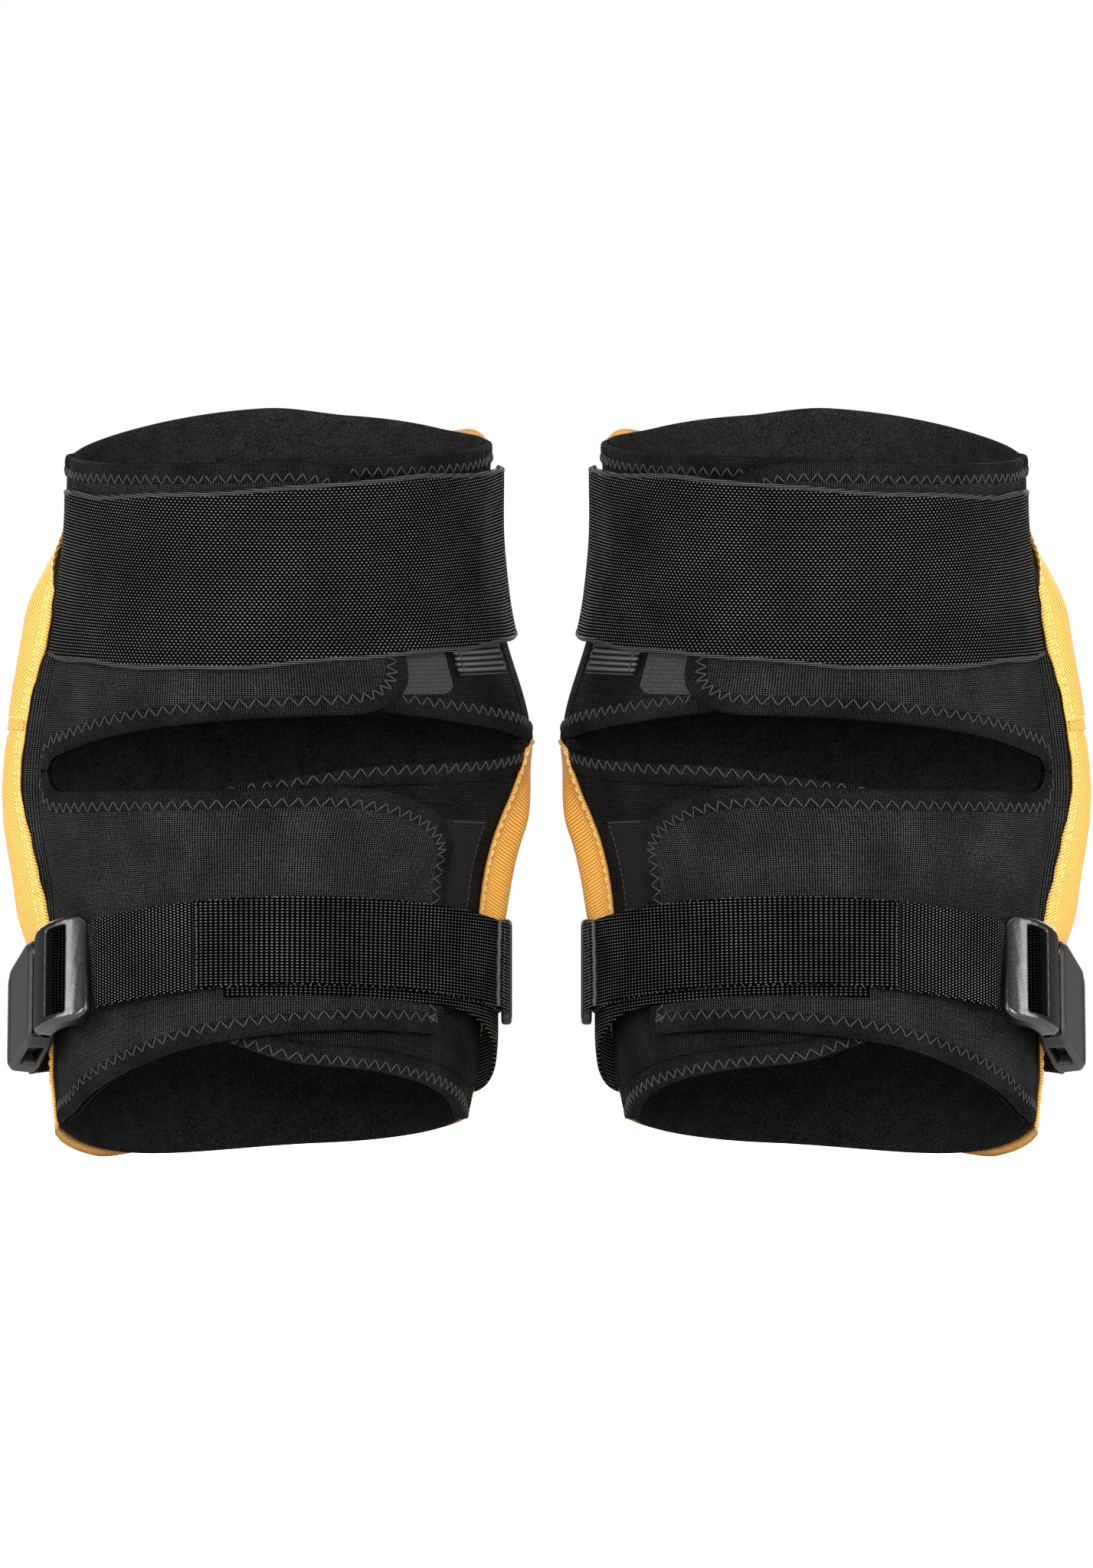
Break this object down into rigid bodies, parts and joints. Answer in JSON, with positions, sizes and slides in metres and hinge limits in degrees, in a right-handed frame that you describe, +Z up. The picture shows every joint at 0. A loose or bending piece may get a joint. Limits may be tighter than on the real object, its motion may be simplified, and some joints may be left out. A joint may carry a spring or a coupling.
{
  "type": "knee pads",
  "caption": "A pair of wrap-round protective knee pads: padded fabric front with a moulded cap, neoprene flaps behind, a wide elastic thigh strap and a buckled calf strap.",
  "frame": {"origin": "on the floor under the middle of the pair", "axes": "+Z up along the leg, +Y towards the kneeling side, +X from the left pad to the right pad"},
  "size_m": [0.3856, 0.1768, 0.2674],
  "materials": {
    "cover": "coated ballistic weave",
    "cap": "moulded, satin",
    "foam": "closed-cell foam",
    "gel": "soft gel",
    "neoprene": "knit-faced neoprene",
    "hook": "hook tape",
    "elastic": "ribbed knit elastic",
    "webbing": "woven webbing",
    "plastic": "fine-textured moulding"
  },
  "bodies": {
    "left_pad": {"left_front_cover": "cover", "left_knee_cap": "cap", "left_foam_core": "foam", "left_gel_pad": "gel", "left_liner": "neoprene", "left_lateral_panel": "neoprene", "left_medial_panel": "neoprene", "left_calf_flap_outer": "neoprene", "left_calf_flap_inner": "neoprene", "left_calf_hook_tab": "hook", "left_calf_strap_return": "webbing", "left_strap_ring": "plastic", "left_buckle_female": "plastic", "left_buckle_tether": "webbing"},
    "left_thigh_flap": {"left_thigh_flap_outer": "neoprene", "left_thigh_hook_tab": "hook"},
    "left_thigh_strap": {"left_thigh_strap": "elastic"},
    "left_thigh_inner_flap": {"left_thigh_flap_inner": "neoprene", "left_thigh_strap_anchor": "elastic"},
    "left_calf_strap": {"left_calf_strap": "webbing", "left_buckle_male": "plastic"},
    "left_prong_upper": {"left_buckle_prong_upper": "plastic"},
    "left_prong_lower": {"left_buckle_prong_lower": "plastic"},
    "right_pad": {"right_front_cover": "cover", "right_knee_cap": "cap", "right_foam_core": "foam", "right_gel_pad": "gel", "right_liner": "neoprene", "right_lateral_panel": "neoprene", "right_medial_panel": "neoprene", "right_calf_flap_outer": "neoprene", "right_calf_flap_inner": "neoprene", "right_calf_hook_tab": "hook", "right_calf_strap_return": "webbing", "right_strap_ring": "plastic", "right_buckle_female": "plastic", "right_buckle_tether": "webbing"},
    "right_thigh_flap": {"right_thigh_flap_outer": "neoprene", "right_thigh_hook_tab": "hook"},
    "right_thigh_strap": {"right_thigh_strap": "elastic"},
    "right_thigh_inner_flap": {"right_thigh_flap_inner": "neoprene", "right_thigh_strap_anchor": "elastic"},
    "right_calf_strap": {"right_calf_strap": "webbing", "right_buckle_male": "plastic"},
    "right_prong_upper": {"right_buckle_prong_upper": "plastic"},
    "right_prong_lower": {"right_buckle_prong_lower": "plastic"}
  },
  "joints": [
    {"name": "left_thigh_flap_hinge", "type": "hinge", "parent": "left_pad", "child": "left_thigh_flap", "pos_m": [-0.1819, -0.01357, 0.13647], "axis": [-0.1018, 0.1009, -0.9897], "range_deg": [0, 60]},
    {"name": "left_thigh_strap_hinge", "type": "hinge", "parent": "left_thigh_flap", "child": "left_thigh_strap", "pos_m": [-0.1819, -0.01357, 0.13647], "axis": [-0.1018, 0.1009, -0.9897], "range_deg": [0, 60]},
    {"name": "left_thigh_inner_flap_hinge", "type": "hinge", "parent": "left_pad", "child": "left_thigh_inner_flap", "pos_m": [-0.0076, -0.01997, 0.14957], "axis": [-0.1336, -0.1182, 0.984], "range_deg": [0, 27]},
    {"name": "left_calf_strap_release", "type": "slide", "parent": "left_pad", "child": "left_calf_strap", "axis": [0.2597, -0.8791, 0.3996], "range_m": [0, 0.03]},
    {"name": "left_prong_squeeze", "type": "hinge", "parent": "left_calf_strap", "child": "left_prong_upper", "pos_m": [-0.17638, -0.03696, 0.0736], "axis": [-0.9657, -0.2364, 0.1075], "range_deg": [0, 6]},
    {"name": "left_prong_squeeze_lower", "type": "hinge", "parent": "left_calf_strap", "child": "left_prong_lower", "pos_m": [-0.17638, -0.0473, 0.05084], "axis": [-0.9657, -0.2364, 0.1075], "range_deg": [-6, 0]},
    {"name": "right_thigh_flap_hinge", "type": "hinge", "parent": "right_pad", "child": "right_thigh_flap", "pos_m": [0.1819, -0.01357, 0.13647], "axis": [-0.1018, -0.1009, 0.9897], "range_deg": [0, 60]},
    {"name": "right_thigh_strap_hinge", "type": "hinge", "parent": "right_thigh_flap", "child": "right_thigh_strap", "pos_m": [0.1819, -0.01357, 0.13647], "axis": [-0.1018, -0.1009, 0.9897], "range_deg": [0, 60]},
    {"name": "right_thigh_inner_flap_hinge", "type": "hinge", "parent": "right_pad", "child": "right_thigh_inner_flap", "pos_m": [0.0076, -0.01997, 0.14957], "axis": [-0.1336, 0.1182, -0.984], "range_deg": [0, 27]},
    {"name": "right_calf_strap_release", "type": "slide", "parent": "right_pad", "child": "right_calf_strap", "axis": [-0.2597, -0.8791, 0.3996], "range_m": [0, 0.03]},
    {"name": "right_prong_squeeze", "type": "hinge", "parent": "right_calf_strap", "child": "right_prong_upper", "pos_m": [0.17638, -0.03696, 0.0736], "axis": [-0.9657, 0.2364, -0.1075], "range_deg": [0, 6]},
    {"name": "right_prong_squeeze_lower", "type": "hinge", "parent": "right_calf_strap", "child": "right_prong_lower", "pos_m": [0.17638, -0.0473, 0.05084], "axis": [-0.9657, 0.2364, -0.1075], "range_deg": [-6, 0]},
    {"name": "pad_spacing", "type": "slide", "parent": "left_pad", "child": "right_pad", "axis": [1, 0, 0], "range_m": [0, 0.15]}
  ],
  "couplings": [
    {"joint": "left_thigh_inner_flap_hinge", "follows": "left_thigh_flap_hinge", "ratio": 0.45},
    {"joint": "left_prong_squeeze_lower", "follows": "left_prong_squeeze", "ratio": -1},
    {"joint": "right_thigh_inner_flap_hinge", "follows": "right_thigh_flap_hinge", "ratio": 0.45},
    {"joint": "right_prong_squeeze_lower", "follows": "right_prong_squeeze", "ratio": -1}
  ]
}
